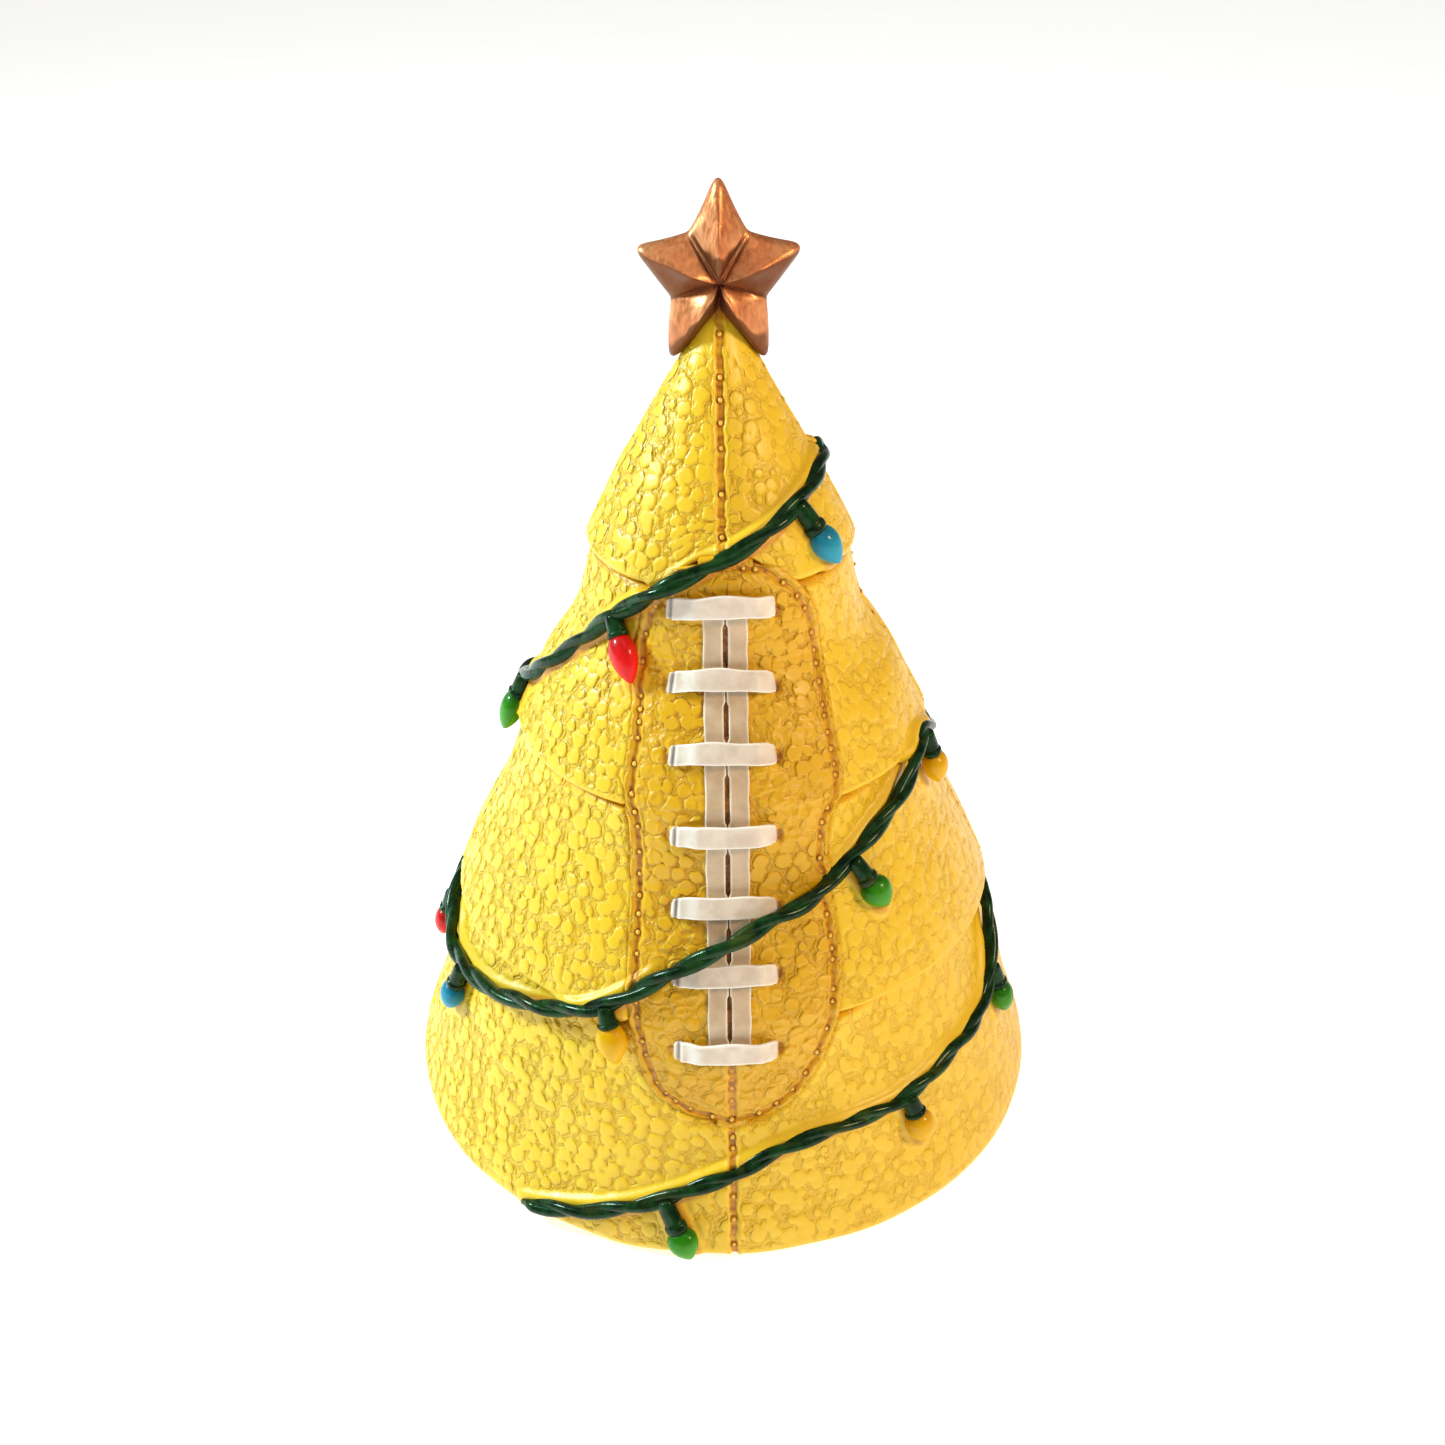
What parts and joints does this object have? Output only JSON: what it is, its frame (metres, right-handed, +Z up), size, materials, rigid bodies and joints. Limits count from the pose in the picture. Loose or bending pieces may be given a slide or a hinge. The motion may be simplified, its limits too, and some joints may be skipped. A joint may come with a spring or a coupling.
{
  "type": "tabletop christmas tree figurine",
  "caption": "Tabletop Christmas tree styled as a laced, pebble-grained leather ball: stacked bell tiers, white laces, star topper and a wound string of bulbs.",
  "frame": {"origin": "centre of the felt pad's underside, where the tree's axis meets the surface it stands on", "axes": "+Z up along the tree's axis to the star; -Y is the front, with the laces; +X is to the right for someone facing the front"},
  "size_m": [0.108, 0.1119, 0.1522],
  "materials": {
    "yellow_leather": "cast resin moulded as pebbled ball leather, painted bright yellow with an orange-brown wash in the seams, satin clear coat",
    "copper_paint": "metallic copper paint with brush marks, darker in the creases",
    "white_lace": "pearly white satin paint",
    "green_string": "dark green gloss paint",
    "bulb_red": "red gloss paint",
    "bulb_blue": "blue gloss paint",
    "bulb_green": "light green gloss paint",
    "bulb_yellow": "yellow gloss paint",
    "resin": "bare cast resin",
    "steel": "plain steel dowel",
    "felt": "dark green felt"
  },
  "bodies": {
    "root": {"tree_tier_1": "yellow_leather", "tree_tier_2": "yellow_leather", "tree_tier_3": "yellow_leather", "tree_tier_4": "yellow_leather", "base_plate": "resin", "felt_pad": "felt", "star_topper": "copper_paint", "star_pin": "steel", "lace_strip_left": "white_lace", "lace_strip_right": "white_lace", "lace_bar_1": "white_lace", "lace_bar_2": "white_lace", "lace_bar_3": "white_lace", "lace_bar_4": "white_lace", "lace_bar_5": "white_lace", "lace_bar_6": "white_lace", "lace_bar_7": "white_lace", "light_string": "green_string", "socket_01": "green_string", "bulb_01_green": "bulb_green", "socket_02": "green_string", "bulb_02_blue": "bulb_blue", "socket_03": "green_string", "bulb_03_red": "bulb_red", "socket_04": "green_string", "bulb_04_green": "bulb_green", "socket_05": "green_string", "bulb_05_yellow": "bulb_yellow", "socket_06": "green_string", "bulb_06_blue": "bulb_blue", "socket_07": "green_string", "bulb_07_red": "bulb_red", "socket_08": "green_string", "bulb_08_green": "bulb_green", "socket_09": "green_string", "bulb_09_yellow": "bulb_yellow", "socket_10": "green_string", "bulb_10_green": "bulb_green", "socket_11": "green_string", "bulb_11_yellow": "bulb_yellow", "socket_12": "green_string", "bulb_12_blue": "bulb_blue", "socket_13": "green_string", "bulb_13_red": "bulb_red", "socket_14": "green_string", "bulb_14_green": "bulb_green", "socket_15": "green_string", "bulb_15_yellow": "bulb_yellow", "socket_16": "green_string", "bulb_16_blue": "bulb_blue", "socket_17": "green_string", "bulb_17_red": "bulb_red", "socket_18": "green_string", "bulb_18_green": "bulb_green", "socket_19": "green_string", "bulb_19_yellow": "bulb_yellow", "socket_20": "green_string", "bulb_20_green": "bulb_green"}
  },
  "joints": []
}
